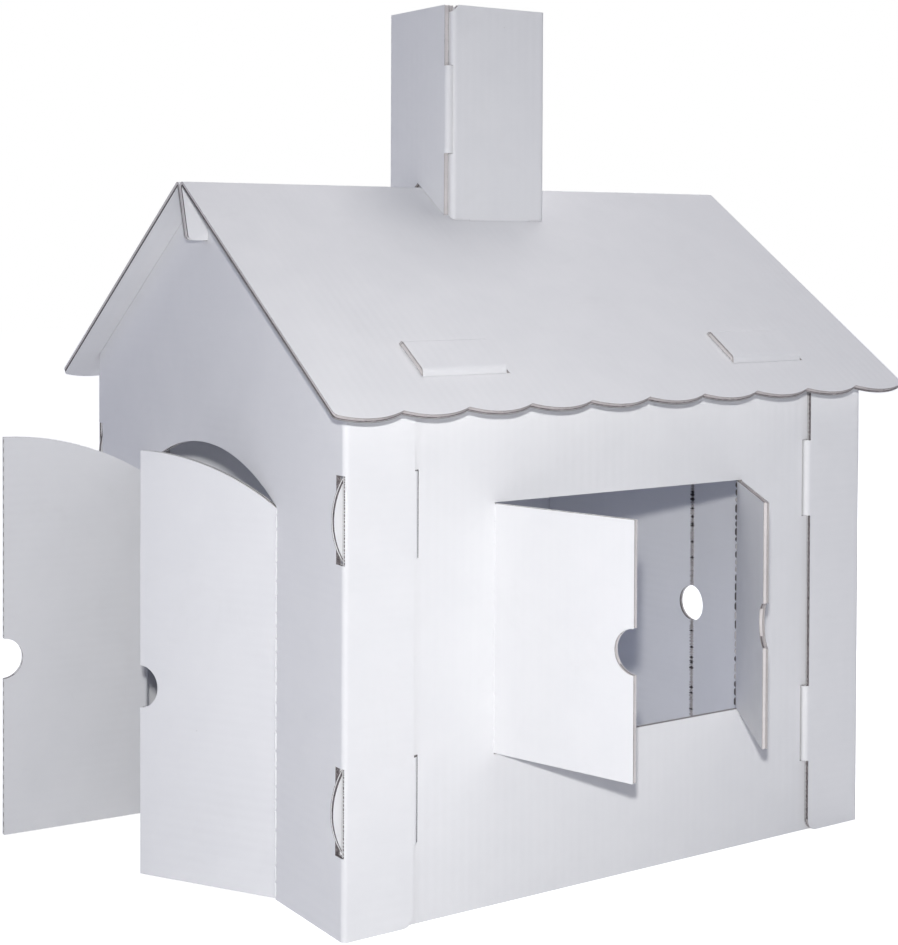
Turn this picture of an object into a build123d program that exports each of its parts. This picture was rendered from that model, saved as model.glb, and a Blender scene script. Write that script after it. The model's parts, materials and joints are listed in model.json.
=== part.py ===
from build123d import *

import os
from math import cos, radians, sin, tan

# A small playhouse of die-cut corrugated board. Seven sheets slot together with no glue:
# two gable sheets with folded flanges, two side walls, two roof sheets and a chimney.
# X runs across the gables, Y along the ridge, and the front door opens towards -Y.

# Board
board = 4.0
fit_gap = 0.3
kerf = 1.0
overrun = 2.0

# House shell
house_width = 432.6
house_length = 491.4
wall_height = 378.0
roof_pitch = 34.0

# Corner flanges of the gable sheets, and what locks them
flange_width = 56.5
flange_drop = 8.0
flange_corner = 9.0
lock_height = 61.0
lower_lock_z = 57.5
upper_lock_z = 257.0
lock_reach = 14.0
slit_play = 1.5
corner_hole_width = 11.0
corner_hole_wrap = 1.2
tongue_proud = 5.5
left_tongue_proud = 1.0
rear_tongue_proud = 0.5

# Arched double door
door_width = 237.0
door_spring_z = 285.5
door_apex_z = 321.0
door_hole_z = 142.5
finger_hole_radius = 16.0
front_right_leaf_angle = 31.5
front_left_leaf_angle = 93.5
rear_leaf_angle = 5.5

# Window with two shutters
window_width = 237.7
window_sill_z = 109.0
window_height = 181.5
right_far_shutter_angle = 56.8
right_near_shutter_angle = 72.0

# Roof sheets
gable_overhang = 22.0
eave_reach = 33.7
scallop_depth = 6.3
scallop_count = 10
eave_corner = 5.0
fin_depth = 41.0
fin_taper = 6.0
fin_corner = 5.0

# Tabs of the side walls that come up through the roof and weave back into it
roof_tab_width = 71.5
roof_tab_inset = 101.0
roof_tab_run = 29.0
roof_tab_reach = 8.0
roof_slot_end = 2.5

# Chimney
chimney_width = 92.0
chimney_length = 97.0
chimney_top_z = 670.5
chimney_flange = 22.0
chimney_seam_inset = 6.0
chimney_bevel = 6.0
chimney_foot_width = 60.0
chimney_foot_reach = 20.0
chimney_offset = -2.8
seam_tab_z = 549.5
seam_tab_height = 71.5
seam_tab_reach = 16.0
seam_slot_play = 0.8

half_width = house_width / 2
half_length = house_length / 2
pitch = radians(roof_pitch)
flange_face = half_width - board
wall_face = flange_face - fit_gap
wall_back = wall_face - board
wall_half_sheet = half_length - board - fit_gap
under_apex = wall_height + fit_gap + wall_face * tan(pitch)
roof_half_length = half_length + gable_overhang
fin_face = fit_gap / 2
fin_back = fin_face + board
lock_lows = (lower_lock_z, upper_lock_z)


def underside(x):
    """Height of the roof's under face at a distance x from the ridge."""
    return under_apex - abs(x) * tan(pitch)


def upper_side(x):
    """Height of the roof's upper face at a distance x from the ridge."""
    return underside(x) + board / cos(pitch)


fin_foot_z = underside(fin_back) - fin_depth
# Down-slope frame of the right roof sheet: along the slope, along the ridge, off the under face.
slope_plane = Plane(origin=(0, 0, under_apex), x_dir=(cos(pitch), 0, -sin(pitch)),
                    z_dir=(sin(pitch), 0, cos(pitch)))


def block(low, high):
    """A box between two corners."""
    size = Vector(*high) - Vector(*low)
    middle = (Vector(*high) + Vector(*low)) / 2
    return Pos(*middle) * Box(*size)


def fold(start_angle, turn):
    """Section of a fold: the board bends round a point on its inner face."""
    rim = CenterArc((0, 0), board, start_angle, turn)
    return make_face([Line((0, 0), rim @ 0), rim, Line(rim @ 1, (0, 0))])


def board_strip(start, heading, runs):
    """Section of a folded strip: each run is a length with the turn that follows it.

    The path follows the left face, and the board lies to its right.
    """
    left, right, corner = [], [], Vector(*start)
    across = Vector(board, 0).rotate(Axis.Z, heading - 90)
    begin = corner
    for length, turn in runs:
        along = Vector(length, 0).rotate(Axis.Z, heading)
        left.append(Line(corner, corner + along))
        right.append(Line(corner + across, corner + across + along))
        corner += along
        turned = across.rotate(Axis.Z, turn)
        if turn > 0:
            right.append(CenterArc(corner, board, heading - 90, turn))
        elif turn < 0:
            left.append(CenterArc(corner + across, board, heading + 90, turn))
            corner += across - turned
        across, heading = turned, heading + turn
    ends = [Line(begin, right[0] @ 0), Line(corner, corner + across)]
    return make_face(left + right + ends)


def upright(outline):
    """A sheet panel from its outline: outer face at y = 0, the board behind it."""
    return extrude(Plane.XZ.offset(-board) * outline, board)


def leaf(opening, half_opening, hole_z, hinge_low, hinge_high, angle):
    """One leaf of a pair, hinged at x = half_opening and swung outwards by its angle."""
    reach = half_opening - kerf / 2
    keep = Pos(half_opening - reach / 2, (hinge_low + hinge_high) / 2) * Rectangle(reach, house_width)
    outline = (opening & keep) - Pos(0, hole_z) * Circle(finger_hole_radius)
    swung = Rot(0, 0, angle) * (Pos(-half_opening, 0, 0) * upright(outline))
    if angle > 0:
        swung += Pos(0, 0, hinge_low) * extrude(fold(90, angle), hinge_high - hinge_low)
    return Pos(half_opening, 0, 0) * swung


def leaf_pair(opening, half_opening, hole_z, hinge_low, hinge_high, right_angle, left_angle):
    """Both leaves of an opening in a sheet whose outer face is at y = 0."""
    right = leaf(opening, half_opening, hole_z, hinge_low, hinge_high, right_angle)
    left = leaf(opening, half_opening, hole_z, hinge_low, hinge_high, left_angle)
    return right + mirror(left, about=Plane.YZ)


def arch(inset):
    """The doorway's outline, drawn in by an inset at its top and foot."""
    half = door_width / 2
    spring, apex, foot = door_spring_z - inset, door_apex_z - inset, inset
    top = ThreePointArc((half, spring), (0, apex), (-half, spring))
    sides = Polyline((-half, spring), (-half, foot), (half, foot), (half, spring))
    return make_face([top, sides])


def flange():
    """The right flange of a gable sheet, with its corner fold and its two lock tabs."""
    top = wall_height - flange_drop
    reach = flange_width - board
    plate = Rectangle(reach, top)
    free_corners = plate.vertices().sort_by(Axis.X)[-2:]
    plate = fillet(free_corners, flange_corner)
    flap = extrude(Plane.YZ * Pos(board + reach / 2, top / 2) * plate, board)
    flap = Pos(flange_face, 0, 0) * flap
    flap += Pos(flange_face, board, 0) * extrude(fold(-90, 90), top)
    for low in lock_lows:
        section = Pos(flange_face, flange_width) * fold(0, 90)
        flap += Pos(0, 0, low) * extrude(section, lock_height)
        flap += block((flange_face - lock_reach, flange_width, low),
                      (flange_face, flange_width + board, low + lock_height))
    return flap


def corner_hole(low):
    """The hole that a side wall's tongue comes through: it ends a little way round the corner fold."""
    high = low + lock_height
    through = block((half_width - corner_hole_width, -overrun, low), (flange_face, board, high))
    return through + block((flange_face, -overrun, low), (half_width + overrun, corner_hole_wrap, high))


def gable_sheet(right_angle, left_angle):
    """A gable with its flanges and double door: outer face at y = 0, outside towards -y."""
    eave = underside(flange_face) - fit_gap
    apex = underside(0) - fit_gap
    outline = make_face(Polyline((-flange_face, 0), (flange_face, 0), (flange_face, eave), (0, apex),
                                 (-flange_face, eave), close=True))
    opening = Pos(0, -overrun) * arch(0) + arch(0)
    sheet = upright(outline - opening)
    right = flange()
    sheet += right + mirror(right, about=Plane.YZ)
    sheet -= block((-fin_back - fit_gap, -overrun, fin_foot_z - fit_gap),
                   (fin_back + fit_gap, board + overrun, under_apex))
    for low in lock_lows:
        hole = corner_hole(low)
        sheet -= hole + mirror(hole, about=Plane.YZ)
    return sheet + leaf_pair(arch(kerf), door_width / 2, door_hole_z, kerf, door_spring_z - kerf,
                             right_angle, left_angle)


def roof_tab():
    """A tab of the wall's top edge: up through the roof, along its upper face and back in."""
    lie_z = upper_side(wall_back) + fit_gap
    runs = [(lie_z - wall_height, roof_pitch - 90), (roof_tab_run, -90), (board + roof_tab_reach, 0)]
    section = board_strip((0, wall_height), 90, runs)
    return Pos(-roof_tab_width / 2, 0, 0) * extrude(Plane.YZ * section, roof_tab_width)


def lock_tongue(low, proud):
    """A rounded tongue at the right end of a side wall, which stands proud of the gable."""
    foot, tip = wall_half_sheet, half_length + proud
    low_end, high_end = (foot, low + fit_gap), (foot, low + lock_height - fit_gap)
    rim = ThreePointArc(low_end, (tip, low + lock_height / 2), high_end)
    return make_face([rim, Line(low_end, high_end)])


def side_sheet(right_angle, left_angle, right_proud, left_proud):
    """A side wall with its window: outer face at y = 0, outside towards -y."""
    outline = Pos(0, wall_height / 2) * Rectangle(2 * wall_half_sheet, wall_height)
    for low in lock_lows:
        outline += [lock_tongue(low, right_proud), mirror(lock_tongue(low, left_proud), about=Plane.YZ)]
    window = Pos(0, window_sill_z + window_height / 2) * Rectangle(window_width, window_height)
    slit_far = half_length - flange_width + fit_gap
    slit_near = half_length - flange_width - board - slit_play
    for low in lock_lows:
        slit = Rectangle(slit_far - slit_near, lock_height + 2 * fit_gap)
        slit = Pos((slit_far + slit_near) / 2, low + lock_height / 2) * slit
        outline -= [slit, mirror(slit, about=Plane.YZ)]
    sheet = upright(outline - window)
    tab_x = half_length - roof_tab_inset
    for x in (-tab_x, tab_x):
        sheet += Pos(x, 0, 0) * roof_tab()
    closed = Pos(0, window_sill_z + window_height / 2) * Rectangle(window_width, window_height - 2 * kerf)
    hinge_low, hinge_high = window_sill_z + kerf, window_sill_z + window_height - kerf
    hole_z = window_sill_z + window_height / 2
    return sheet + leaf_pair(closed, window_width / 2, hole_z, hinge_low, hinge_high, right_angle, left_angle)


def scalloped_slope():
    """Outline of a roof slope, down-slope by along-ridge, with round lobes at the eave."""
    start = fin_back / cos(pitch)
    tip = half_width / cos(pitch) + eave_reach
    cusp = tip - scallop_depth
    step = 2 * roof_half_length / scallop_count
    slab = Pos((start + cusp) / 2, 0) * Rectangle(cusp - start, 2 * roof_half_length)
    for number in range(scallop_count):
        low = number * step - roof_half_length
        rim = ThreePointArc((cusp, low), (tip, low + step / 2), (cusp, low + step))
        slab += make_face([rim, Line((cusp, low), (cusp, low + step))])
    ends = [v for v in slab.vertices() if abs(v.X - cusp) < fit_gap and roof_half_length - abs(v.Y) < fit_gap]
    return fillet(ends, eave_corner)


def ridge_fin():
    """The flange along the ridge that hangs down and rests in both gable notches."""
    top, foot = underside(fin_back), fin_foot_z
    long, short = roof_half_length, roof_half_length - fin_taper
    plate = make_face(Polyline((-short, foot), (short, foot), (long, top), (-long, top), close=True))
    plate = fillet(plate.vertices().sort_by(Axis.Y)[:2], fin_corner)
    return Pos(fin_face, 0, 0) * extrude(Plane.YZ * plate, board)


def roof_slots():
    """What the wall tabs and the chimney's foot tab need cut from the right roof sheet."""
    low_z, high_z = underside(half_width) - board, under_apex + board
    tab_y = half_length - roof_tab_inset
    half_tab = roof_tab_width / 2
    bend = (wall_back + sin(pitch) * (-board - fit_gap)) / cos(pitch)
    weave = bend - roof_tab_run
    cuts = []
    for y in (-tab_y, tab_y):
        cuts.append(block((wall_back - fit_gap, y - half_tab - fit_gap, low_z),
                          (wall_face + fit_gap, y + half_tab + roof_slot_end, high_z)))
        cuts.append(slope_plane * block((weave - board - fit_gap, y - half_tab - fit_gap, -overrun),
                                        (weave + fit_gap, y + half_tab + fit_gap, board + overrun)))
    half_foot = chimney_foot_width / 2 + fit_gap
    chimney_face = chimney_width / 2
    cuts.append(block((chimney_face - board - fit_gap, -half_foot, low_z),
                      (chimney_face + fit_gap, half_foot, high_z)))
    return cuts


def roof_sheet():
    """The right roof sheet: scalloped slope, ridge fold, ridge fin and slots."""
    sheet = slope_plane * extrude(scalloped_slope(), board)
    ridge = extrude(Plane.XZ * fold(90 - roof_pitch, 90 + roof_pitch), 2 * roof_half_length)
    sheet += Pos(fin_back, roof_half_length, underside(fin_back)) * ridge
    sheet += ridge_fin()
    return sheet - roof_slots()


def chimney():
    """The wrapped chimney: open box, seam flange with lock tab, notched feet on the roof."""
    face_x, face_y = chimney_width / 2, chimney_length / 2
    back_x, back_y = face_x - board, face_y - board
    lap_y = -back_y + fit_gap + board
    seam_x = face_x - chimney_seam_inset
    base_z = upper_side(back_x) - chimney_foot_reach
    wrap = [(chimney_flange, 90), (back_y - lap_y, 90), (2 * back_x, 90), (2 * back_y, 90),
            (seam_x + back_x, 0)]
    tube = extrude(board_strip((back_x - chimney_flange, lap_y), 0, wrap), chimney_top_z - base_z)
    tube = Pos(0, 0, base_z) * tube
    tab_low = (seam_x, -back_y, seam_tab_z)
    seam_slot = block((seam_x - fit_gap, -back_y, seam_tab_z - fit_gap),
                      (seam_x + board + seam_slot_play, lap_y, seam_tab_z + seam_tab_height + fit_gap))
    tube -= seam_slot
    seam_tab = Pos(*tab_low) * extrude(fold(-90, 90), seam_tab_height)
    seam_tab += block(tab_low, (seam_x + board, -back_y + seam_tab_reach, seam_tab_z + seam_tab_height))
    wrapped = (tube + seam_tab) - under_chimney(base_z) - seam_bevel()
    return Pos(0, chimney_offset, 0) * wrapped


def under_chimney(base_z):
    """What is cut away below the chimney: it is notched over the ridge, but for two foot tabs."""
    face_x, face_y = chimney_width / 2, chimney_length / 2
    low, edge = base_z - overrun, face_x + overrun
    peak = upper_side(0) + fit_gap
    shoulder = peak - edge * tan(pitch)
    roof_line = make_face(Polyline((-edge, low), (edge, low), (edge, shoulder), (0, peak),
                                   (-edge, shoulder), close=True))
    feet_low, feet_high = -chimney_foot_width / 2 - chimney_offset, chimney_foot_width / 2 - chimney_offset
    under = extrude(Plane.XZ * roof_line, face_y + overrun, both=True)
    return under - block((-edge, feet_low, low - overrun), (edge, feet_high, peak + overrun))


def seam_bevel():
    """The bevelled top corner of the fold and flange beside the chimney's seam."""
    face_x, face_y = chimney_width / 2, chimney_length / 2
    edge = board - face_y
    wedge = make_face(Polyline((edge, chimney_top_z), (edge + chimney_bevel, chimney_top_z),
                               (edge, chimney_top_z - chimney_bevel), close=True))
    seam_x = face_x - chimney_seam_inset
    return Pos(seam_x, 0, 0) * extrude(Plane.YZ * wedge, chimney_seam_inset + overrun)


def playhouse():
    """Every sheet in its place, standing on z = 0 about the centre of the walls."""
    front = Pos(0, -half_length, 0) * gable_sheet(front_right_leaf_angle, front_left_leaf_angle)
    rear = Pos(0, half_length, 0) * Rot(0, 0, 180) * gable_sheet(rear_leaf_angle, rear_leaf_angle)
    window_wall = side_sheet(right_far_shutter_angle, right_near_shutter_angle, rear_tongue_proud, tongue_proud)
    right = Pos(wall_face, 0, 0) * Rot(0, 0, 90) * window_wall
    left = Pos(-wall_face, 0, 0) * Rot(0, 0, -90) * side_sheet(0, 0, left_tongue_proud, rear_tongue_proud)
    slope = roof_sheet()
    return {"front_gable": front, "rear_gable": rear, "right_side_wall": right, "left_side_wall": left,
            "right_roof": slope, "left_roof": Rot(0, 0, 180) * slope, "chimney": chimney()}


def main():
    """Write each sheet, with the origin at the bottom centre of the whole part."""
    sheets = playhouse()
    boxes = [sheet.bounding_box() for sheet in sheets.values()]
    middle_x = (min(box.min.X for box in boxes) + max(box.max.X for box in boxes)) / 2
    middle_y = (min(box.min.Y for box in boxes) + max(box.max.Y for box in boxes)) / 2
    os.makedirs("parts", exist_ok=True)
    for name, sheet in sheets.items():
        export_step(Pos(-middle_x, -middle_y, 0) * sheet, f"parts/{name}.step")


main()
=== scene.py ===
"""Looks of a small flat-pack playhouse made of white-lined corrugated board.

Each sheet of the frame is rebuilt as real board in its own outline: two paper liners with a waved
fluting between them, so that every cut edge shows the flutes. Lengths are in metres.
"""
from __future__ import annotations

import json
import logging
import math
import random
from dataclasses import dataclass, field
from enum import Enum

import bmesh
import bpy
import numpy as np
from mathutils import Matrix, Vector
from mathutils.bvhtree import BVHTree

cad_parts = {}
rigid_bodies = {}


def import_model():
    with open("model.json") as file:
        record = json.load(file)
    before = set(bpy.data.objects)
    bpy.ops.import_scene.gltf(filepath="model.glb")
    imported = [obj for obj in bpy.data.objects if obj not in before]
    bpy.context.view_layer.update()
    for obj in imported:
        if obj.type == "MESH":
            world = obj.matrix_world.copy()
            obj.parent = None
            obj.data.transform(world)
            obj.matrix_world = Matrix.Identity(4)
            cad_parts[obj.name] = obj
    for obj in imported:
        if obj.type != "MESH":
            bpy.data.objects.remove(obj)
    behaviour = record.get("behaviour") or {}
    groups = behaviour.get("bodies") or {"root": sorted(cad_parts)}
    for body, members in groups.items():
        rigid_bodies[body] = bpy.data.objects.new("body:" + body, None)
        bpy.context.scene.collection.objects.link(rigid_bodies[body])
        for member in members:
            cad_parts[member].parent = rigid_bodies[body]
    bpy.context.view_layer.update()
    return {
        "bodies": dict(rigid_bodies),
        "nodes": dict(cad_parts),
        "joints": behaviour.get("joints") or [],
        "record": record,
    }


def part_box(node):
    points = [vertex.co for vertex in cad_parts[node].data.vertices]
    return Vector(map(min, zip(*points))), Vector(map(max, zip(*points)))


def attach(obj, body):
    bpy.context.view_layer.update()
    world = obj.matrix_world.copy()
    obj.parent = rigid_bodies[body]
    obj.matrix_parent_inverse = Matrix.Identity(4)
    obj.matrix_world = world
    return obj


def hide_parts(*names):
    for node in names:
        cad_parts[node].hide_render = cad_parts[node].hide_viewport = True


MM = 0.001
QUARTER = math.pi / 2
RISE = Vector((0.0, 0.0, 1.0))
WHITE = (1.0, 1.0, 1.0)
LOG = logging.getLogger("playhouse")
FLUTE_UV = "flute_run"

Colour = tuple[float, float, float]
Place = tuple[float, float, float]
Point = tuple[float, float]
Span = tuple[float, float]
Mesh = bmesh.types.BMesh
Corner = bmesh.types.BMVert
Edge = bmesh.types.BMEdge
Face = bmesh.types.BMFace
Piece = bpy.types.Object
Socket = bpy.types.NodeSocket


class FluteRun(Enum):
    """Which way the flutes of a sheet run."""

    LEVEL = "level"
    UPRIGHT = "upright"

    def along(self, normal: Vector) -> Vector:
        """Finds the direction of the flutes in a panel.

        Args:
            normal: The panel's normal.

        Returns:
            A unit vector in the panel's plane.
        """
        if self is FluteRun.LEVEL:
            return normal.cross(RISE).normalized()
        return (RISE - normal * normal.dot(RISE)).normalized()


class EdgeCut(Enum):
    """Crushed core at a cut edge: a profile in millimetres, and the paper of each stretch of it.

    A point of the profile is its depth below the outer liner's face, then its depth in from the cut.
    """

    # Stretches in the hollow paper are painted shade: the dark of the flutes' hollows and of the inner liner's edge,
    # which faces away from the light.
    ALONG_FLUTES = (((0.35, 0.15), (1.2, 0.2), (2.2, 0.2), (2.5, 0.45), (3.65, 0.4)),
                    ("core_side", "core_side", "cut_hollow", "cut_hollow"))
    CLOSED_FLUTE = (((0.35, 1.1), (1.3, 1.0), (1.6, 0.35), (3.65, 0.2)),
                    ("liner_rim", "liner_rim", "core_side"))
    # The crushed paper at the inner end of a cut across the flutes is painted shade of the board's lower edge.
    ACROSS_FLUTES = (((0.35, 1.2), (2.1, 0.9), (2.5, 0.45), (3.65, 0.4)),
                     ("fluting", "fluting", "crushed_cut_and_shade"))
    CRUSHED = (((0.35, 0.3), (1.4, 0.5), (2.6, 0.35), (3.65, 0.8)),
               ("crushed_cut_and_shade", "crushed_cut_and_shade", "crushed_cut_and_shade"))
    PLAIN = (((0.35, 0.2), (2.0, 0.3), (3.65, 0.2)),
             ("core_side", "core_side"))

    @property
    def profile(self) -> list[Point]:
        """Profile in metres, from the outer liner to the inner one."""
        return [(down * MM, inward * MM) for down, inward in self.value[0]]

    @property
    def papers(self) -> tuple[str, ...]:
        """Paper that shows from each point of the profile to the next."""
        return self.value[1]


@dataclass(frozen=True)
class WallPlan:
    """Sizes of the walls that the corner locks and the lines of marks follow."""

    half_width: float = 216.3 * MM
    half_length: float = 245.7 * MM
    wall_face: float = 212.0 * MM
    board: float = 4.0 * MM
    lock_lows: tuple[float, ...] = (57.5 * MM, 257.0 * MM)
    lock_height: float = 61.0 * MM


@dataclass(frozen=True)
class LockCorners:
    """The walls' four corners, where the tongues and their holes are crushed by the locking, and whose cut edges are
    dark partly with painted shade of the gaps.
    """

    centre: Vector
    plan: WallPlan = WallPlan()
    reach: float = 14.0 * MM
    slit_inset: float = 56.5 * MM
    slit_reach: float = 6.0 * MM
    low: float = 10.0 * MM
    high: float = 370.0 * MM

    def crushed(self, edge: Edge) -> bool:
        """Says whether a cut edge belongs to a tongue, to its hole or to a slit.

        Args:
            edge: The edge.

        Returns:
            True near a corner or a slit, but not at the sheet's foot or top.
        """
        place = (edge.verts[0].co + edge.verts[1].co) / 2 - self.centre
        side = abs(abs(place.x) - self.plan.half_width)
        end = self.plan.half_length - abs(place.y)
        at_corner = max(side, abs(end)) < self.reach
        at_slit = side < self.reach and abs(end - self.slit_inset) < self.slit_reach
        return (at_corner or at_slit) and self.low < place.z < self.high


@dataclass(frozen=True)
class BoardSection:
    """Section of the corrugated board, and how finely its meshes are read and built."""

    thickness: float = 4.0 * MM
    liner: float = 0.4 * MM
    medium: float = 0.3 * MM
    flute_pitch: float = 7.5 * MM
    samples_per_flute: int = 8
    medium_inset: float = 0.25 * MM
    hollow_depth: float = 1.7 * MM
    shortest_span: float = 1.0 * MM
    thickness_play: float = 0.15 * MM
    weld_reach: float = 0.001 * MM
    ray_start: float = 0.01 * MM
    facing_dot: float = -0.99
    flat_dot: float = 0.99999
    fold_turn: float = math.radians(40.0)
    fold_strip: float = 3.0 * MM
    parallel_share: float = 0.8
    normal_digits: int = 3
    normal_steps: int = 500

    @property
    def wave_height(self) -> float:
        """Half the travel of the medium's middle between the liners."""
        return self.thickness / 2 - self.liner - self.medium / 2

    @property
    def wave_step(self) -> float:
        """Distance between two lines of the medium's mesh."""
        return self.flute_pitch / self.samples_per_flute


class Nodes:
    """Short calls for building a shader tree."""

    MIX_INPUTS = (0, 6, 7)
    MIX_RESULT = 2

    def __init__(self, tree: bpy.types.NodeTree) -> None:
        """Starts on an empty tree.

        Args:
            tree: The tree that the nodes go into.
        """
        self.tree = tree
        self.tree.nodes.clear()

    def feed(self, socket: Socket, value: object) -> None:
        """Links an input to an output socket, or sets it to a plain value.

        Args:
            socket: The input.
            value: The output socket or the value.
        """
        if isinstance(value, Socket):
            self.tree.links.new(value, socket)
        else:
            socket.default_value = value

    def add(self, kind: str, inputs: dict[str | int, object] | None = None, **settings: object) -> bpy.types.Node:
        """Places a node.

        Args:
            kind: The node's type name.
            inputs: Values or output sockets, by input name or number.
            **settings: Properties of the node.

        Returns:
            The new node.
        """
        node = self.tree.nodes.new(kind)
        for name, value in settings.items():
            setattr(node, name, value)
        for name, value in (inputs or {}).items():
            self.feed(node.inputs[name], value)
        return node

    def math(self, operation: str, *values: object) -> Socket:
        """Places a Math node.

        Args:
            operation: What it does with its values.
            *values: Numbers or output sockets.

        Returns:
            Its output.
        """
        return self.add("ShaderNodeMath", dict(enumerate(values)), operation=operation).outputs[0]

    def mix(self, factor: object, first: object, second: object) -> Socket:
        """Places a Mix node for colours.

        Args:
            factor: Share of the second colour.
            first: Colour at a factor of 0.
            second: Colour at a factor of 1.

        Returns:
            Its output.
        """
        inputs = dict(zip(self.MIX_INPUTS, (factor, first, second)))
        return self.add("ShaderNodeMix", inputs, data_type="RGBA").outputs[self.MIX_RESULT]

    def ramp(self, value: Socket, low: float, high: float) -> Socket:
        """Stretches a value, held between 0 and 1.

        Args:
            value: The value.
            low: What becomes 0.
            high: What becomes 1.

        Returns:
            The stretched value.
        """
        node = self.add("ShaderNodeMapRange", {"Value": value, "From Min": low, "From Max": high}, clamp=True)
        return node.outputs["Result"]

    def object_place(self) -> Socket:
        """Places the coordinates that stay with the object, and returns them."""
        return self.add("ShaderNodeTexCoord").outputs["Object"]


@dataclass
class ShaderGroup:
    """A shader node group of plain numbers, with named inputs and outputs."""

    name: str
    inputs: dict[str, float]
    outputs: tuple[str, ...]
    kind: str = "NodeSocketFloat"
    tree: bpy.types.NodeTree = field(init=False)

    def open(self) -> tuple[Nodes, bpy.types.Node, bpy.types.Node]:
        """Makes the group's tree with its sockets.

        Returns:
            The tree's builder, its input node and its output node.
        """
        self.tree = bpy.data.node_groups.new(self.name, "ShaderNodeTree")
        for name, value in self.inputs.items():
            socket = self.tree.interface.new_socket(name=name, in_out="INPUT", socket_type=self.kind)
            socket.default_value = value
        for name in self.outputs:
            self.tree.interface.new_socket(name=name, in_out="OUTPUT", socket_type=self.kind)
        nodes = Nodes(self.tree)
        return nodes, nodes.add("NodeGroupInput"), nodes.add("NodeGroupOutput")

    def place(self, nodes: Nodes, inputs: dict[str, object] | None = None) -> bpy.types.Node:
        """Places the group in a material.

        Args:
            nodes: The material's builder.
            inputs: Values or sockets by input name.

        Returns:
            The group's node.
        """
        node = nodes.add("ShaderNodeGroup", node_tree=self.tree)
        for name, value in (inputs or {}).items():
            nodes.feed(node.inputs[name], value)
        return node


@dataclass(frozen=True)
class NoiseField:
    """A noise texture, stretched to run from 0 to 1."""

    detail: float
    low: float
    high: float
    roughness: float = 0.5
    distortion: float = 0.0

    def place(self, nodes: Nodes, where: Socket, scale: Socket | float) -> Socket:
        """Places the noise in a tree.

        Args:
            nodes: The tree's builder.
            where: The coordinates.
            scale: The noise's scale.

        Returns:
            The stretched noise.
        """
        noise = nodes.add("ShaderNodeTexNoise", {"Vector": where, "Scale": scale, "Detail": self.detail,
                                                 "Roughness": self.roughness, "Distortion": self.distortion})
        return nodes.ramp(noise.outputs["Fac"], self.low, self.high)


@dataclass(frozen=True)
class PaperFibre:
    """The cloudy formation and fine fibres that all papers of the board share."""

    cloud_size: float = 40 * MM
    fibre_size: float = 0.6 * MM
    cloud: NoiseField = NoiseField(detail=4.0, low=0.3, high=0.7, roughness=0.6)
    fibre: NoiseField = NoiseField(detail=2.0, low=0.25, high=0.75, roughness=0.7, distortion=1.5)

    def build(self) -> ShaderGroup:
        """Builds the group.

        Returns:
            The group, whose Cloud and Fibre run from 0 to 1.
        """
        group = ShaderGroup("paper_fibre", {"Cloud Size": self.cloud_size, "Fibre Size": self.fibre_size},
                            ("Cloud", "Fibre"))
        nodes, given, result = group.open()
        where = nodes.object_place()
        for name, noise in (("Cloud", self.cloud), ("Fibre", self.fibre)):
            scale = nodes.math("DIVIDE", 1.0, given.outputs[f"{name} Size"])
            nodes.feed(result.inputs[name], noise.place(nodes, where, scale))
        return group


@dataclass(frozen=True)
class FluteShow:
    """The faint, patchy washboard that the flutes leave in a liner."""

    pitch: float
    unevenness: float = 0.5
    patch_scale: float = 9.0
    patch: NoiseField = NoiseField(detail=3.0, low=0.35, high=0.7)

    def build(self) -> ShaderGroup:
        """Builds the group.

        Returns:
            The group, whose Wave runs from 0 to 1 once a flute.
        """
        group = ShaderGroup("flute_show", {"Unevenness": self.unevenness}, ("Wave",))
        nodes, given, result = group.open()
        run = nodes.add("ShaderNodeUVMap", uv_map=FLUTE_UV).outputs["UV"]
        across = nodes.add("ShaderNodeSeparateXYZ", {"Vector": run}).outputs["X"]
        wave = nodes.math("SINE", nodes.math("MULTIPLY", across, 2 * math.pi / self.pitch))
        half = nodes.math("MULTIPLY_ADD", wave, 0.5, 0.5)
        patch = self.patch.place(nodes, nodes.object_place(), self.patch_scale)
        gain = nodes.math("MULTIPLY", patch, given.outputs["Unevenness"])
        kept = nodes.math("SUBTRACT", 1.0, given.outputs["Unevenness"])
        nodes.feed(result.inputs["Wave"], nodes.math("MULTIPLY", half, nodes.math("ADD", gain, kept)))
        return group


@dataclass(frozen=True)
class Handling:
    """The faint smudges and specks of board that has been folded and handled."""

    smudge_size: float = 60 * MM
    smudge: NoiseField = NoiseField(detail=6.0, low=0.56, high=0.78, roughness=0.75, distortion=0.6)
    speck_scale: float = 55.0
    speck_rim: float = 0.045
    speck_middle: float = 0.02
    rare_scale: float = 14.0
    rare: NoiseField = NoiseField(detail=1.0, low=0.6, high=0.64)

    def build(self) -> ShaderGroup:
        """Builds the group.

        Returns:
            The group, whose Smudge and Speck are masks.
        """
        group = ShaderGroup("handling", {"Smudge Size": self.smudge_size}, ("Smudge", "Speck"))
        nodes, given, result = group.open()
        where = nodes.object_place()
        scale = nodes.math("DIVIDE", 1.0, given.outputs["Smudge Size"])
        speck = nodes.add("ShaderNodeTexVoronoi", {"Vector": where, "Scale": self.speck_scale, "Randomness": 1.0})
        near = nodes.ramp(speck.outputs["Distance"], self.speck_rim, self.speck_middle)
        chosen = self.rare.place(nodes, where, self.rare_scale)
        nodes.feed(result.inputs["Smudge"], self.smudge.place(nodes, where, scale))
        nodes.feed(result.inputs["Speck"], nodes.math("MULTIPLY", near, chosen))
        return group


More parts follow.
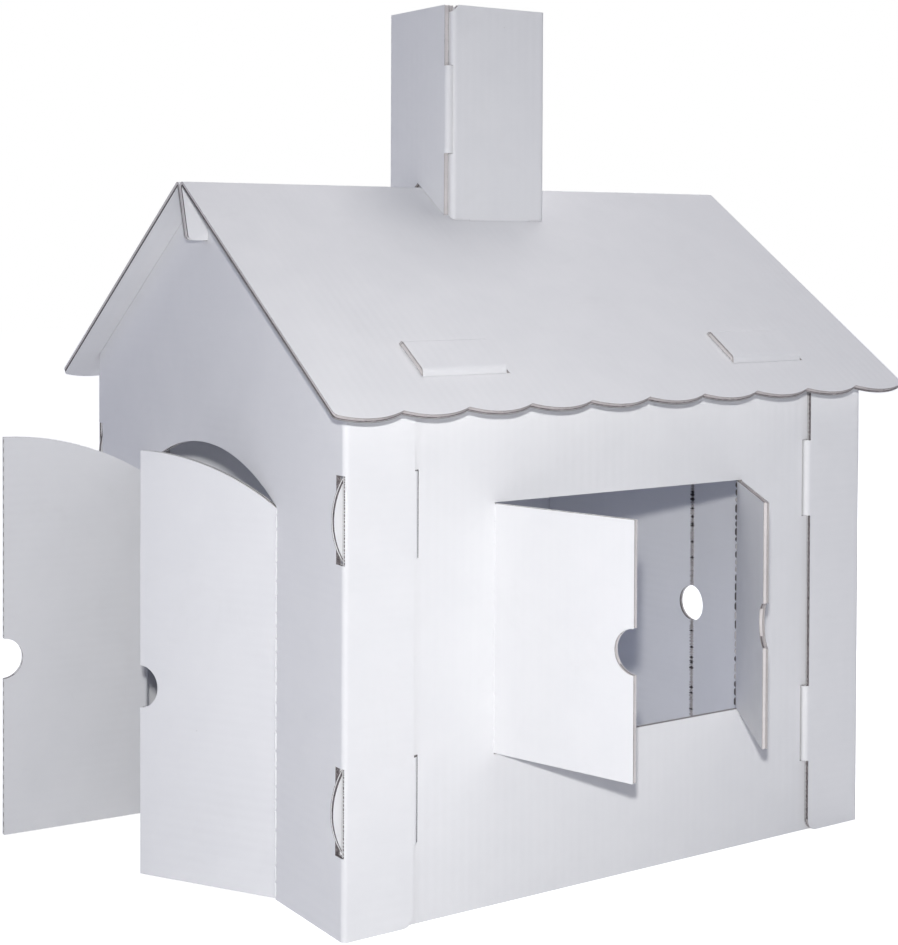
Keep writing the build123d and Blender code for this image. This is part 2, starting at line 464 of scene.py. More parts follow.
@dataclass(frozen=True)
class PaperFinish:
    """Colour and feel of one paper of the board."""

    name: str
    light: Colour
    shade: Colour
    roughness: float = 0.9
    roughness_play: float = 0.1
    cloud_strength: float = 0.5
    fibre_strength: float = 0.5
    fibre_depth: float = 0.05 * MM
    fibre_size: float = 0.6 * MM
    gloss: float = 0.1
    flute_depth: float = 0.0
    smudge: Colour | None = None
    smudge_strength: float = 0.0
    speck_strength: float = 0.5

    def make(self, groups: dict[str, ShaderGroup]) -> bpy.types.Material:
        """Builds the material.

        Args:
            groups: The shared shader groups by name.

        Returns:
            The material.
        """
        material = bpy.data.materials.new(self.name)
        material.use_nodes = True
        nodes = Nodes(material.node_tree)
        fibre = groups["paper_fibre"].place(nodes, {"Fibre Size": self.fibre_size}).outputs
        mottle = nodes.math("ADD", nodes.math("MULTIPLY", fibre["Cloud"], self.cloud_strength),
                            nodes.math("MULTIPLY", fibre["Fibre"], self.fibre_strength))
        colour = nodes.mix(mottle, (*self.light, 1.0), (*self.shade, 1.0))
        height = nodes.math("MULTIPLY", fibre["Fibre"], self.fibre_depth)
        if self.flute_depth:
            wave = groups["flute_show"].place(nodes).outputs["Wave"]
            height = nodes.math("ADD", height, nodes.math("MULTIPLY", wave, self.flute_depth))
        if self.smudge:
            marks = groups["handling"].place(nodes).outputs
            for mark, strength in (("Smudge", self.smudge_strength), ("Speck", self.speck_strength)):
                colour = nodes.mix(nodes.math("MULTIPLY", marks[mark], strength), colour, (*self.smudge, 1.0))
        bump = nodes.add("ShaderNodeBump", {"Height": height, "Strength": 1.0, "Distance": 1.0})
        rough = nodes.math("MULTIPLY_ADD", fibre["Cloud"], self.roughness_play, self.roughness)
        shader = nodes.add("ShaderNodeBsdfPrincipled", {"Base Color": colour, "Roughness": rough,
                                                        "Normal": bump.outputs["Normal"],
                                                        "Specular IOR Level": self.gloss})
        nodes.add("ShaderNodeOutputMaterial", {"Surface": shader.outputs["BSDF"]})
        return material


@dataclass
class BoardFinish:
    """The papers of the board: white liner, its two cut rims, the brown-grey fluting and the dark of a cut. The inner
    rim and the dark of a cut are painted shade, and the crushed cut is partly painted shade.
    """

    papers: tuple[PaperFinish, ...] = (
        PaperFinish("white_liner", light=(0.845, 0.845, 0.85), shade=(0.80, 0.803, 0.812), roughness=0.55,
                    cloud_strength=0.55, fibre_strength=0.3, fibre_depth=0.012 * MM, gloss=0.3,
                    flute_depth=0.08 * MM, smudge=(0.66, 0.65, 0.64), smudge_strength=0.12),
        PaperFinish("liner_rim", light=(0.54, 0.51, 0.50), shade=(0.28, 0.26, 0.255), roughness=0.85),
        # The inner rim's dark is painted shade: the inner liner's cut edge faces down and away from the light.
        PaperFinish("inner_rim_painted_shade", light=(0.17, 0.155, 0.155), shade=(0.08, 0.073, 0.073)),
        # The crushed cut is crushed board whose near-black tone is partly painted shade of the gaps at tongues, holes
        # and slits.
        PaperFinish("crushed_cut_and_shade", light=(0.36, 0.325, 0.33), shade=(0.015, 0.013, 0.015),
                    cloud_strength=0.15, fibre_strength=0.85, fibre_depth=0.1 * MM, fibre_size=2.2 * MM),
        PaperFinish("core_side", light=(0.78, 0.74, 0.73), shade=(0.56, 0.53, 0.52)),
        PaperFinish("fluting", light=(0.56, 0.53, 0.53), shade=(0.37, 0.345, 0.345)),
        # The hollow paper is painted shade: the dark inside flute hollows and cut openings.
        PaperFinish("cut_hollow", light=(0.13, 0.115, 0.115), shade=(0.07, 0.062, 0.062), roughness=0.95,
                    cloud_strength=0.6, fibre_strength=0.4, gloss=0.0),
    )
    made: dict[str, bpy.types.Material] = field(default_factory=dict)

    def make(self, board: BoardSection) -> None:
        """Builds the shared groups and the papers' materials.

        Args:
            board: The section whose flutes show in the liner.
        """
        effects = (PaperFibre(), FluteShow(board.flute_pitch), Handling())
        groups = {group.name: group for group in (effect.build() for effect in effects)}
        for paper in self.papers:
            self.made[paper.name] = paper.make(groups)

    def dress(self, data: bpy.types.Mesh, papers: tuple[str, ...]) -> None:
        """Gives a mesh its papers.

        Args:
            data: The mesh.
            papers: The papers' names, in the order of the faces' material numbers.
        """
        for name in papers:
            data.materials.append(self.made[name])


@dataclass
class CorrugatedSheet:
    """One folded sheet: its liners follow the frame's node, with fluting between them.

    The liners' papers come in pairs, a skin and then its rim: outer skin, inner skin, crushed places.
    """

    node: str
    flutes: FluteRun
    board: BoardSection
    finish: BoardFinish
    slot: str
    corners: LockCorners
    side_cut: EdgeCut
    core_papers: tuple[str, ...] = ("fluting", "core_side", "cut_hollow", "crushed_cut_and_shade", "liner_rim")
    outer_paper: int = 0
    inner_paper: int = 2
    crushed_paper: int = 4

    def build(self, source: Piece) -> list[Piece]:
        """Rebuilds the sheet as board.

        Args:
            source: The frame's object for this node.

        Returns:
            The liners, the fluting and the core.
        """
        solid = self._read(source)
        seeds = self._paired_faces(solid)
        liners = self._grown(seeds)
        fluting = self._fluting(seeds)
        outer = self._outer_skin(solid, liners)
        core = self._core(solid, liners, outer)
        shells = self._liners(solid, liners, outer)
        for piece in (shells, fluting, core):
            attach(piece, "root")
        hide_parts(self.node)
        return [shells, fluting, core]

    def _read(self, source: Piece) -> Mesh:
        """Copies the node's mesh with its doubled vertices welded.

        Args:
            source: The frame's object for this node.

        Returns:
            The copy.
        """
        solid = bmesh.new()
        solid.from_mesh(source.data)
        bmesh.ops.remove_doubles(solid, verts=solid.verts, dist=self.board.weld_reach)
        solid.normal_update()
        solid.faces.ensure_lookup_table()
        return solid

    def _paired_faces(self, solid: Mesh) -> list[Face]:
        """Finds the flat faces that have the other side of the board right behind them.

        Args:
            solid: The node's mesh.

        Returns:
            The faces.
        """
        tree = BVHTree.FromBMesh(solid)
        found = []
        for face in solid.faces:
            start = face.calc_center_median() - face.normal * self.board.ray_start
            _, normal, _, distance = tree.ray_cast(start, -face.normal, 2 * self.board.thickness)
            if normal is None or normal.dot(face.normal) > self.board.facing_dot:
                continue
            if abs(distance + self.board.ray_start - self.board.thickness) < self.board.thickness_play:
                found.append(face)
        return found

    def _grown(self, seeds: list[Face]) -> set[Face]:
        """Adds the curved faces of the folds to the flat liner faces.

        Args:
            seeds: The flat faces.

        Returns:
            All faces of the two liners.
        """
        liners, queue = set(seeds), list(seeds)
        while queue:
            face = queue.pop()
            for other in (other for edge in face.edges for other in edge.link_faces):
                if other not in liners and other.normal.angle(face.normal) <= self.board.fold_turn:
                    liners.add(other)
                    queue.append(other)
        return liners

    def _outer_skin(self, solid: Mesh, liners: set[Face]) -> set[Face]:
        """Picks the side of the folded sheet that looks outwards most.

        Args:
            solid: The node's mesh.
            liners: All faces of the two liners.

        Returns:
            The faces of the outer liner.
        """
        middle = sum((vert.co for vert in solid.verts), Vector()) / len(solid.verts)
        left, best, best_score = set(liners), set(), -math.inf
        while left:
            skin, queue = set(), [next(iter(left))]
            while queue:
                face = queue.pop()
                if face in skin:
                    continue
                skin.add(face)
                queue += [other for edge in face.edges for other in edge.link_faces if other in left]
            left -= skin
            score = sum(face.calc_area() * face.normal.dot(face.calc_center_median() - middle) for face in skin)
            if score > best_score:
                best, best_score = skin, score
        return best

    def _core(self, solid: Mesh, liners: set[Face], skin: set[Face]) -> Piece:
        """Makes the crushed core that shows between the two liners all along the cut edges; its darker, deeper
        stretches are painted shade.

        Args:
            solid: The node's mesh.
            liners: All faces of the two liners.
            skin: The faces of the outer liner.

        Returns:
            The core.
        """
        core = bmesh.new()
        for edge in solid.edges:
            owners = [face for face in edge.link_faces if face in skin]
            cuts = [face for face in edge.link_faces if face not in liners]
            if len(owners) != 1 or len(cuts) != 1:
                continue
            cut = self._cut_of(edge, owners[0])
            rows = [[core.verts.new(self._inside(vert, skin, liners, down, inward)) for down, inward in cut.profile]
                    for vert in edge.verts[:]]
            for place, paper in enumerate(cut.papers):
                corners = (rows[0][place], rows[1][place], rows[1][place + 1], rows[0][place + 1])
                face = core.faces.new(corners)
                face.material_index = self.core_papers.index(paper)
                face.normal_update()
                if face.normal.dot(cuts[0].normal) < 0.0:
                    face.normal_flip()
        return self._object("core", core, self.core_papers)

    def _cut_of(self, edge: Edge, owner: Face) -> EdgeCut:
        """Picks the profile of a cut edge from its place and the run of the flutes.

        Args:
            edge: The edge.
            owner: The outer liner's face beside it.

        Returns:
            The profile.
        """
        if self.corners.crushed(edge):
            return EdgeCut.CRUSHED
        run = (edge.verts[1].co - edge.verts[0].co).normalized()
        if abs(run.dot(self.flutes.along(owner.normal))) < self.board.parallel_share:
            return EdgeCut.ACROSS_FLUTES
        return self.side_cut

    @staticmethod
    def _inside(vert: Corner, skin: set[Face], liners: set[Face], down: float, inward: float) -> Vector:
        """Moves a corner of the cut edge into the board.

        Args:
            vert: The corner.
            skin: The faces of the outer liner.
            liners: All faces of the two liners.
            down: Depth below the outer liner's face.
            inward: Depth in from the cut.

        Returns:
            The place in the core.
        """
        below = sum((face.normal for face in vert.link_faces if face in skin), Vector()).normalized()
        behind = sum((face.normal for face in vert.link_faces if face not in liners), Vector()).normalized()
        return vert.co - below * down - behind * inward

    def _liners(self, solid: Mesh, liners: set[Face], outer: set[Face]) -> Piece:
        """Makes the two papers: skins on the node's own faces, as thick as a liner.

        Args:
            solid: The node's mesh, which is used up.
            liners: All faces of the two liners.
            outer: The faces of the outer liner.

        Returns:
            The liners.
        """
        run = solid.loops.layers.uv.new(FLUTE_UV)
        for face in liners:
            rims = [edge for edge in face.edges if any(other not in liners for other in edge.link_faces)]
            crushed = any(self.corners.crushed(edge) for edge in rims)
            skin_paper = self.outer_paper if face in outer else self.inner_paper
            face.material_index = self.crushed_paper if crushed else skin_paper
            along = self.flutes.along(face.normal)
            across = face.normal.cross(along)
            for loop in face.loops:
                loop[run].uv = (loop.vert.co.dot(across), loop.vert.co.dot(along))
        cuts = [face for face in solid.faces if face not in liners]
        bmesh.ops.delete(solid, geom=cuts, context="FACES")
        # Where the board is cut along its flutes, the inner liner's rim takes the paper with painted shade.
        inner_rim_painted_shade = "inner_rim_painted_shade" if self.side_cut is EdgeCut.ALONG_FLUTES else "liner_rim"
        papers = ("white_liner", "liner_rim", "white_liner", inner_rim_painted_shade, "white_liner", "crushed_cut_and_shade")
        piece = self._object("liners", solid, papers)
        thicken = piece.modifiers.new("paper", "SOLIDIFY")
        thicken.thickness = self.board.liner
        thicken.offset = -1.0
        thicken.use_even_offset = True
        thicken.use_rim = True
        thicken.material_offset_rim = 1
        self._apply(piece)
        self._straighten(piece.data)
        return piece

    def _straighten(self, mesh: bpy.types.Mesh) -> None:
        """Lets flat panels shade flat right up to their round folds.

        Args:
            mesh: The liners, where each corner takes the normals around it weighed by their panels' areas.
        """
        skin = bmesh.new()
        skin.from_mesh(mesh)
        weight: dict[Face, float] = {}
        flat: set[Face] = set()
        for start in skin.faces:
            if start in weight:
                continue
            panel = self._flat_panel(start)
            area = sum(face.calc_area() for face in panel)
            longest = max(edge.calc_length() for face in panel for edge in face.edges)
            weight.update({face: area for face in panel if face not in weight})
            if area / longest > self.board.fold_strip:
                flat |= panel
        limit = math.cos(self.board.fold_turn)
        normals = []
        for face in skin.faces:
            for loop in face.loops:
                around = [face] if face in flat else [near for near in loop.vert.link_faces
                                                      if near.normal.dot(face.normal) > limit]
                normals.append(sum((near.normal * weight[near] ** 2 for near in around), Vector()).normalized())
        skin.free()
        mesh.normals_split_custom_set(normals)

    def _flat_panel(self, start: Face) -> set[Face]:
        """Gathers the faces that lie flat with a face.

        Args:
            start: The face.

        Returns:
            The face and all that join it in its plane.
        """
        panel, queue = {start}, [start]
        while queue:
            for other in (other for edge in queue.pop().edges for other in edge.link_faces):
                if other not in panel and other.normal.dot(start.normal) > self.board.flat_dot:
                    panel.add(other)
                    queue.append(other)
        return panel

    def _fluting(self, seeds: list[Face]) -> Piece:
        """Makes the waved medium between the liners of every flat panel.

        Args:
            seeds: The flat faces of both liners.

        Returns:
            The fluting.
        """
        panels: dict[tuple[int, ...], list[Face]] = {}
        for face in seeds:
            if tuple(round(part, self.board.normal_digits) for part in face.normal) < (0.0, 0.0, 0.0):
                continue
            offset = face.normal.dot(face.verts[0].co)
            turn = (round(part * self.board.normal_steps) for part in face.normal)
            panels.setdefault((*turn, round(offset / self.board.thickness_play)), []).append(face)
        wave = bmesh.new()
        for faces in panels.values():
            self._add_medium(wave, faces)
        bmesh.ops.recalc_face_normals(wave, faces=wave.faces)
        return self._object("fluting", wave, ("fluting",))

    def _add_medium(self, wave: Mesh, faces: list[Face]) -> None:
        """Adds one panel's medium as strips between the lines where it crosses the panel's outline.

        Args:
            wave: The mesh that the medium goes into.
            faces: The panel's faces on one side of the board.
        """
        normal = faces[0].normal.copy()
        along = self.flutes.along(normal)
        across = normal.cross(along)
        middle = normal.dot(faces[0].verts[0].co) - self.board.thickness / 2
        kept = set(faces)
        rim = [edge for face in faces for edge in face.edges if sum(f in kept for f in edge.link_faces) == 1]
        ends = np.array([[(v.co.dot(across), v.co.dot(along)) for v in edge.verts] for edge in rim])
        step = self.board.wave_step
        lines = np.arange(math.ceil(ends[..., 0].min() / step), math.floor(ends[..., 0].max() / step) + 1) * step
        strip: list[list[list[Corner]]] = []
        before: list[Span] = []
        for line in lines:
            spans = self._spans(ends, line + self.board.weld_reach / 2)
            for side in (line - self.board.hollow_depth, line + self.board.hollow_depth):
                spans = self._common(spans, self._spans(ends, side))
            if not self._carries_on(before, spans):
                self._close(wave, strip)
                strip = []
            height = middle + self.board.wave_height * math.sin(2 * math.pi * line / self.board.flute_pitch)
            strip.append([self._section(wave, normal, across, along, line, span, height) for span in spans])
            before = spans
        self._close(wave, strip)

    def _spans(self, ends: np.ndarray, line: float) -> list[Span]:
        """Finds the stretches of a line that lie inside the outline.

        Args:
            ends: The outline's edges, each as two points across and along the flutes.
            line: Where the line lies across the flutes.

        Returns:
            The stretches, each drawn in a little from the cut edge.
        """
        first, last = ends[:, 0, :], ends[:, 1, :]
        crosses = (first[:, 0] - line) * (last[:, 0] - line) < 0
        first, last = first[crosses], last[crosses]
        climb = (last[:, 1] - first[:, 1]) * (line - first[:, 0]) / (last[:, 0] - first[:, 0])
        places = np.sort(first[:, 1] + climb)
        inset = self.board.medium_inset
        pairs = zip(places[0::2] + inset, places[1::2] - inset)
        return [(float(low), float(high)) for low, high in pairs if high - low > inset]

    def _common(self, first: list[Span], second: list[Span]) -> list[Span]:
        """Keeps what two lists of stretches share, without the shortest scraps."""
        pairs = [(max(a[0], b[0]), min(a[1], b[1])) for a in first for b in second]
        return [(low, high) for low, high in pairs if high - low > self.board.shortest_span]

    @staticmethod
    def _carries_on(before: list[Span], spans: list[Span]) -> bool:
        """Says whether each stretch of one line meets the same stretch of the next."""
        meets = all(min(a[1], b[1]) > max(a[0], b[0]) for a, b in zip(before, spans))
        return len(before) == len(spans) and meets

    def _section(self, wave: Mesh, normal: Vector, across: Vector, along: Vector, line: float, span: Span,
                 height: float) -> list[Corner]:
        """Adds the four corners of the medium's section where a line crosses a stretch.

        Args:
            wave: The mesh that the medium goes into.
            normal: The panel's normal.
            across: Direction across the flutes.
            along: Direction of the flutes.
            line: Where the line lies across the flutes.
            span: The stretch.
            height: Where the medium's middle lies along the normal.

        Returns:
            The corners.
        """
        half = self.board.medium / 2
        corners = ((span[0], -half), (span[1], -half), (span[1], half), (span[0], half))
        return [wave.verts.new(across * line + along * place + normal * (height + lift)) for place, lift in corners]

    @staticmethod
    def _close(wave: Mesh, strip: list[list[list[Corner]]]) -> None:
        """Skins the sections of a strip and closes its two ends.

        Args:
            wave: The mesh that the medium goes into.
            strip: The sections, line by line. A strip of one line is dropped.
        """
        if len(strip) < 2:
            for section in (section for sections in strip for section in sections):
                bmesh.ops.delete(wave, geom=section, context="VERTS")
            return
        for sections in zip(*strip):
            for low, high in zip(sections, sections[1:]):
                for corner in range(len(low)):
                    following = (corner + 1) % len(low)
                    wave.faces.new((low[corner], low[following], high[following], high[corner]))
            wave.faces.new(sections[0][::-1])
            wave.faces.new(sections[-1])

    def _object(self, part: str, mesh: Mesh, papers: tuple[str, ...]) -> Piece:
        """Turns a mesh into a named object with smooth folds and sharp cuts.

        Args:
            part: What the piece is of its sheet.
            mesh: Its mesh, which is used up.
            papers: Its papers' names.

        Returns:
            The object.
        """
        data = bpy.data.meshes.new(f"{self.node}_{part}")
        mesh.to_mesh(data)
        mesh.free()
        self.finish.dress(data, papers)
        self._smooth(data)
        return place_in_scene(data)

    def _apply(self, piece: Piece) -> None:
        """Keeps the shape that the piece's modifiers give it, and drops them.

        Args:
            piece: The piece.
        """
        graph = bpy.context.evaluated_depsgraph_get()
        shaped = bpy.data.meshes.new_from_object(piece.evaluated_get(graph))
        piece.modifiers.clear()
        piece.data = shaped
        self._smooth(shaped)

    def _smooth(self, data: bpy.types.Mesh) -> None:
        """Shades a mesh smooth across its folds and sharp at its cuts."""
        data.polygons.foreach_set("use_smooth", [True] * len(data.polygons))
        data.set_sharp_from_angle(angle=self.board.fold_turn)


class CreaseMark(Enum):
    """What an upright line of marks shows: its papers, and the share of marks in the second, dark one, which is
    painted shade of a hollow.
    """

    RIDGE = (("white_liner",), 0.0)
    # Cuts are slivers of painted shade where a perforation's opening is dark; torn and frayed lines mix fluting beads
    # with beads of painted shade.
    CUTS = (("cut_hollow",), 0.0)
    TORN = (("fluting", "cut_hollow"), 0.72)
    FRAYED = (("fluting", "cut_hollow"), 0.22)
    # The crushed slivers are torn board and partly painted shade of a hole's gap.
    CRUSHED = (("crushed_cut_and_shade",), 0.0)

    @property
    def papers(self) -> tuple[str, ...]:
        """Names of the papers that show."""
        return self.value[0]

    @property
    def dark_share(self) -> float:
        """Share of the marks that are dark hollows of painted shade."""
        return self.value[1]

    @property
    def lies_flat(self) -> bool:
        """Whether the marks are slivers that lie on the board, and not beads."""
        return self in (CreaseMark.CUTS, CreaseMark.CRUSHED)


@dataclass(frozen=True)
class MarkLine:
    """An upright line of marks in the board: a hinge's perforated crease, a frayed seam or a torn cut."""

    name: str
    foot: Point
    facing: float
    low: float
    high: float
    mark: CreaseMark
    seed: int
    shift: float = 0.0
    ridge_radius: float = 0.85 * MM
    radius_play: Span = (0.8, 1.1)
    end_share: float = 0.35
    ridge_length: Span = (7.0 * MM, 13.0 * MM)
    nick: Span = (0.7 * MM, 1.8 * MM)
    cut_length: Span = (3.5 * MM, 7.0 * MM)
    bridge: Span = (2.0 * MM, 5.0 * MM)
    fray_length: Span = (1.0 * MM, 3.0 * MM)
    fray_gap: Span = (0.1 * MM, 0.4 * MM)
    cut_width: float = 1.1 * MM
    proud: float = 0.06 * MM
    sides: int = 6

    @property
    def rhythm(self) -> tuple[Span, Span]:
        """How long the marks and the gaps between them are.

        Returns:
            The range of the marks' lengths, then the range of the gaps.
        """
        rhythms = {CreaseMark.RIDGE: (self.ridge_length, self.nick), CreaseMark.CUTS: (self.cut_length, self.bridge),
                   CreaseMark.TORN: (self.cut_length, self.nick)}
        return rhythms.get(self.mark, (self.fray_length, self.fray_gap))

    def build(self, centre: Vector, finish: BoardFinish, slot: str) -> Piece:
        """Builds the line's marks.

        Args:
            centre: The middle of the house at floor level.
            finish: The board's papers.
            slot: The record's material slot; not used.

        Returns:
            The piece.
        """
        chance = random.Random(self.seed)
        lengths, gaps = self.rhythm
        out = Vector((math.cos(self.facing), math.sin(self.facing), 0.0))
        foot = centre + Vector((*self.foot, 0.0)) + out * self.shift
        mesh = bmesh.new()
        low = self.low + chance.uniform(*gaps)
        while low < self.high:
            high = min(low + chance.uniform(*lengths), self.high)
            if self.mark.lies_flat:
                self._sliver(mesh, foot, out, low, high)
            else:
                radius = chance.uniform(*self.radius_play) * self.ridge_radius
                # A dark bead is painted shade of a hollow in the torn or frayed line.
                dark = int(chance.random() < self.mark.dark_share)
                self._bead(mesh, foot, low, high, radius, dark)
            low = high + chance.uniform(*gaps)
        bmesh.ops.recalc_face_normals(mesh, faces=mesh.faces)
        data = bpy.data.meshes.new(self.name)
        mesh.to_mesh(data)
        mesh.free()
        finish.dress(data, self.mark.papers)
        piece = place_in_scene(data)
        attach(piece, "root")
        return piece

    def _bead(self, mesh: Mesh, foot: Vector, low: float, high: float, radius: float, paper: int) -> None:
        """Adds one crushed ridge or torn bit: a thin upright bead with tapered ends.

        Args:
            mesh: The mesh that the bead goes into.
            foot: The line's foot.
            low: The bead's lower end.
            high: The bead's upper end.
            radius: Its radius.
            paper: The number of its paper; the second paper is painted shade.
        """
        taper = min(radius, (high - low) / 3)
        turns = [2 * math.pi * side / self.sides for side in range(self.sides)]
        rings = []
        for height, share in ((low, self.end_share), (low + taper, 1.0), (high - taper, 1.0), (high, self.end_share)):
            rims = [Vector((math.cos(turn) * radius * share, math.sin(turn) * radius * share, height))
                    for turn in turns]
            rings.append([mesh.verts.new(foot + rim) for rim in rims])
        faces = []
        for lower, upper in zip(rings, rings[1:]):
            for side in range(self.sides):
                following = (side + 1) % self.sides
                faces.append(mesh.faces.new((lower[side], lower[following], upper[following], upper[side])))
        faces += [mesh.faces.new(rings[0][::-1]), mesh.faces.new(rings[-1])]
        for face in faces:
            face.material_index = paper

    def _sliver(self, mesh: Mesh, foot: Vector, out: Vector, low: float, high: float) -> None:
        """Adds one cut: a dark sliver of painted shade, pointed at both ends, that lies on the board where the cut's
        opening shows dark.

        Args:
            mesh: The mesh that the sliver goes into.
            foot: The line's foot.
            out: The way that the sliver faces.
            low: The cut's lower end.
            high: The cut's upper end.
        """
        side = Vector((-out.y, out.x, 0.0)) * self.cut_width / 2
        point = min(self.cut_width, (high - low) / 3)
        outline = ((0.0, low), (1.0, low + point), (1.0, high - point), (0.0, high), (-1.0, high - point),
                   (-1.0, low + point))
        front = [mesh.verts.new(foot + side * across + out * self.proud + Vector((0.0, 0.0, height)))
                 for across, height in outline]
        back = [mesh.verts.new(vert.co - out * self.proud * 2) for vert in front]
        mesh.faces.new(front)
        mesh.faces.new(back[::-1])
        for place in range(len(front)):
            following = (place + 1) % len(front)
            mesh.faces.new((front[place], back[place], back[following], front[following]))


@dataclass(frozen=True)
class BoardMarks:
    """All the upright lines of marks: hinges of doors and shutters, the rear doors' seam, the corner holes."""

    plan: WallPlan = WallPlan()
    half_door: float = 118.5 * MM
    half_window: float = 118.85 * MM
    door: Span = (1.0 * MM, 284.5 * MM)
    window: Span = (110.0 * MM, 289.5 * MM)
    finger_hole: Span = (126.0 * MM, 159.0 * MM)
    far_shutter_turn: float = math.radians(56.8)
    inner_cut_turn: float = math.radians(8.0)
    torn_radius: float = 1.2 * MM
    seam_radius: float = 2.5 * MM
    leaf_shift: float = 0.5 * MM
    leaf_bisector: float = math.radians(50.0)
    rear_ajar: float = 11.4 * MM
    rear_seam_high: float = 316.0 * MM
    hole_edge: Point = (214.4 * MM, 244.5 * MM)
    hole_line: float = 1.1 * MM
    first_hole_seed: int = 30

    def creases(self) -> list[MarkLine]:
        """Lists the lines at the doors and shutters, each with its place from the middle of the house.

        Returns:
            The lines.
        """
        ridge, cuts, torn, frayed = CreaseMark.RIDGE, CreaseMark.CUTS, CreaseMark.TORN, CreaseMark.FRAYED
        end, face = self.plan.half_length, self.plan.wall_face
        inner = math.pi + self.far_shutter_turn - self.inner_cut_turn
        seam = (0.0, end - self.plan.board + self.rear_ajar)
        below, above = (self.door[0], self.finger_hole[0]), (self.finger_hole[1], self.rear_seam_high)
        return [
            MarkLine("front_right_leaf_crease", (self.half_door, -end), -self.leaf_bisector, *self.door, ridge, 11,
                     shift=self.leaf_shift),
            MarkLine("front_left_leaf_crease", (-self.half_door, -end), -QUARTER, *self.door, ridge, 12),
            MarkLine("rear_left_leaf_crease", (self.half_door, end), QUARTER, *self.door, cuts, 13),
            MarkLine("rear_right_leaf_crease", (-self.half_door, end), QUARTER, *self.door, cuts, 14),
            MarkLine("near_shutter_crease", (face, -self.half_window), 0.0, *self.window, ridge, 15),
            MarkLine("far_shutter_crease", (face, self.half_window), 0.0, *self.window, ridge, 16),
            MarkLine("far_shutter_cuts", (face, self.half_window), inner, *self.window, torn, 17,
                     shift=self.plan.board, ridge_radius=self.torn_radius),
            MarkLine("rear_seam_low", seam, -QUARTER, *below, frayed, 20, ridge_radius=self.seam_radius),
            MarkLine("rear_seam_high", seam, -QUARTER, *above, frayed, 21, ridge_radius=self.seam_radius),
            MarkLine("left_front_shutter_crease", (-face, -self.half_window), math.pi, *self.window, cuts, 18),
            MarkLine("left_rear_shutter_crease", (-face, self.half_window), math.pi, *self.window, cuts, 19),
        ]

    def hole_cuts(self) -> list[MarkLine]:
        """Lists the dark torn line at the outer edge of each corner hole, partly painted shade of the hole's gap,
        from the middle of the house.

        Returns:
            The lines.
        """
        lines = []
        for end_name, end in (("front", -1), ("rear", 1)):
            for side_name, side in (("left", -1), ("right", 1)):
                for number, low in enumerate(self.plan.lock_lows, start=1):
                    foot = (side * self.hole_edge[0], end * self.hole_edge[1])
                    lines.append(MarkLine(f"{end_name}_{side_name}_hole_cut_{number}", foot, end * QUARTER, low,
                                          low + self.plan.lock_height, CreaseMark.CRUSHED,
                                          self.first_hole_seed + len(lines), cut_width=self.hole_line))
        return lines


@dataclass
class Playhouse:
    """The whole playhouse: every sheet with the run of its flutes and its side cuts, and the marks."""

    board: BoardSection = BoardSection()
    finish: BoardFinish = field(default_factory=BoardFinish)
    marks: BoardMarks = BoardMarks()
    sheets: dict[str, tuple[FluteRun, EdgeCut]] = field(default_factory=lambda: {
        "front_gable": (FluteRun.LEVEL, EdgeCut.ALONG_FLUTES),
        "rear_gable": (FluteRun.LEVEL, EdgeCut.ALONG_FLUTES),
        "right_side_wall": (FluteRun.UPRIGHT, EdgeCut.CLOSED_FLUTE),
        "left_side_wall": (FluteRun.UPRIGHT, EdgeCut.CLOSED_FLUTE),
        "right_roof": (FluteRun.UPRIGHT, EdgeCut.ALONG_FLUTES),
        "left_roof": (FluteRun.UPRIGHT, EdgeCut.ALONG_FLUTES),
        "chimney": (FluteRun.UPRIGHT, EdgeCut.PLAIN),
    })

    def build(self, frame: dict, centre: Vector) -> None:
        """Rebuilds every sheet, adds the marks and logs the pieces.

        Args:
            centre: The middle of the house at floor level.
        """
        self.finish.make(self.board)
        slots = {part["node"]: part["material_slot"] for part in frame["record"]["subparts"]}
        corners = LockCorners(centre, self.marks.plan)
        pieces = []
        for node, (run, side_cut) in self.sheets.items():
            sheet = CorrugatedSheet(node, run, self.board, self.finish, slots[node], corners, side_cut)
            pieces += sheet.build(frame["nodes"][node])
        for line in self.marks.creases() + self.marks.hole_cuts():
            pieces.append(line.build(centre, self.finish, slots["front_gable"]))
        for piece in pieces:
            LOG.info("%s: %d faces", piece.name, len(piece.data.polygons))


@dataclass(frozen=True)
class PhotoCamera:
    """The camera at the photograph's station, about the centre of the house's floor."""

    picture: tuple[int, int] = (898, 945)
    focal_px: float = 1788.28
    axis_row_px: float = 275.02
    station: Place = (1.26238, -0.84951, 0.475)
    yaw: float = math.radians(33.32)
    tilt: float = math.radians(0.97)
    roll: float = math.radians(0.24)
    sensor: float = 36.0
    nearest: float = 10 * MM

    def build(self, centre: Vector) -> None:
        """Places the camera.

        Args:
            centre: The middle of the house at floor level.
        """
        height = self.picture[1]
        data = bpy.data.cameras.new("photo_camera")
        data.sensor_width = self.sensor
        data.lens = self.focal_px / height * self.sensor
        data.shift_y = -(height / 2 - self.axis_row_px) / height
        data.clip_start = self.nearest
        level = Vector((-math.cos(self.yaw), math.sin(self.yaw), 0.0))
        side = Vector((math.sin(self.yaw), math.cos(self.yaw), 0.0))
        ahead = level * math.cos(self.tilt) - RISE * math.sin(self.tilt)
        lift = RISE * math.cos(self.tilt) + level * math.sin(self.tilt)
        right = side * math.cos(self.roll) + lift * math.sin(self.roll)
        up = lift * math.cos(self.roll) - side * math.sin(self.roll)
        camera = place_in_scene(data)
        turn = Matrix((right, up, -ahead)).transposed().to_4x4()
        camera.matrix_world = Matrix.Translation(centre + Vector(self.station)) @ turn
        bpy.context.scene.camera = camera


